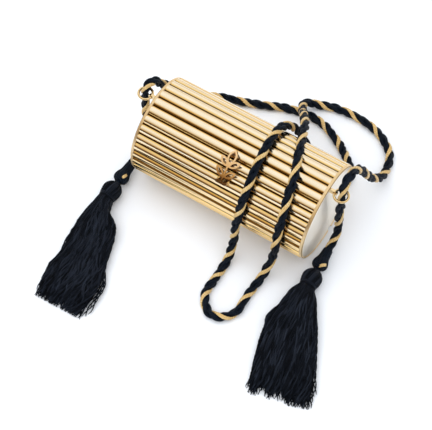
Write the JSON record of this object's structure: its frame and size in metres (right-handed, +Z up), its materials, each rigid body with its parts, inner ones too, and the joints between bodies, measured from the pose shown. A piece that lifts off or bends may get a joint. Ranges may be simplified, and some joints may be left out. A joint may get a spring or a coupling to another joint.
{
  "type": "minaudiere",
  "caption": "Cylindrical ribbed gilt metal evening case with a lever clasp, end rings and a threaded twisted cord strap ending in silk tassels.",
  "frame": {"origin": "middle of the case's underside, on the surface that it lies on, without the strap and tassels", "axes": "+X along the case towards its right end, -Y the front with the clasp, +Z up"},
  "size_m": [0.2328, 0.2719, 0.0937],
  "materials": {
    "gilt": "polished",
    "gilt_ornament": "polished",
    "spring_steel": "satin",
    "lining_cloth": "velvet",
    "silk": "twisted"
  },
  "bodies": {
    "back_half": {"back_shell": "gilt", "back_end_plate_left": "gilt", "back_end_plate_right": "gilt", "back_frame": "gilt", "back_lining": "lining_cloth", "back_hinge_leaf": "gilt", "hinge_pin": "gilt", "catch_spring": "spring_steel", "lug_left": "gilt", "lug_right": "gilt", "strap_left": "silk", "strap_front": "silk", "strap_right": "silk", "sleeve_left": "silk", "sleeve_right": "silk", "tassel_neck_left": "silk", "tassel_neck_right": "silk", "tassel_head_left": "silk", "tassel_head_right": "silk", "tassel_skirt_left": "silk", "tassel_skirt_right": "silk", "sleeve_band_left": "gilt", "sleeve_band_right": "gilt"},
    "front_half": {"front_shell": "gilt", "front_end_plate_left": "gilt", "front_end_plate_right": "gilt", "front_frame": "gilt", "front_lining": "lining_cloth", "front_hinge_leaf": "gilt", "clasp_base": "gilt", "clasp_pin": "gilt", "clasp_spring": "spring_steel"},
    "clasp": {"clasp_lever": "gilt_ornament"},
    "ring_left_body": {"ring_left": "gilt"},
    "ring_right_body": {"ring_right": "gilt"}
  },
  "joints": [
    {"name": "lid_hinge", "type": "hinge", "parent": "back_half", "child": "front_half", "pos_m": [0, 0.00796, 0.00234], "axis": [1, 0, 0], "range_deg": [0, 60], "deforming": ["strap_front", "catch_spring"]},
    {"name": "clasp_press", "type": "hinge", "parent": "front_half", "child": "clasp", "pos_m": [0.002, -0.03206, 0.06569], "axis": [-1, 0, 0], "range_deg": [0, 4], "stiffness_Nm_per_rad": 0.5, "springref_deg": -2.86},
    {"name": "ring_left_swing", "type": "hinge", "parent": "back_half", "child": "ring_left_body", "pos_m": [-0.0801, -0.001, 0.07531], "axis": [0, 1, 0], "range_deg": [-10, 10]},
    {"name": "ring_right_swing", "type": "hinge", "parent": "back_half", "child": "ring_right_body", "pos_m": [0.0801, -0.001, 0.07531], "axis": [0, 1, 0], "range_deg": [-10, 10]}
  ]
}
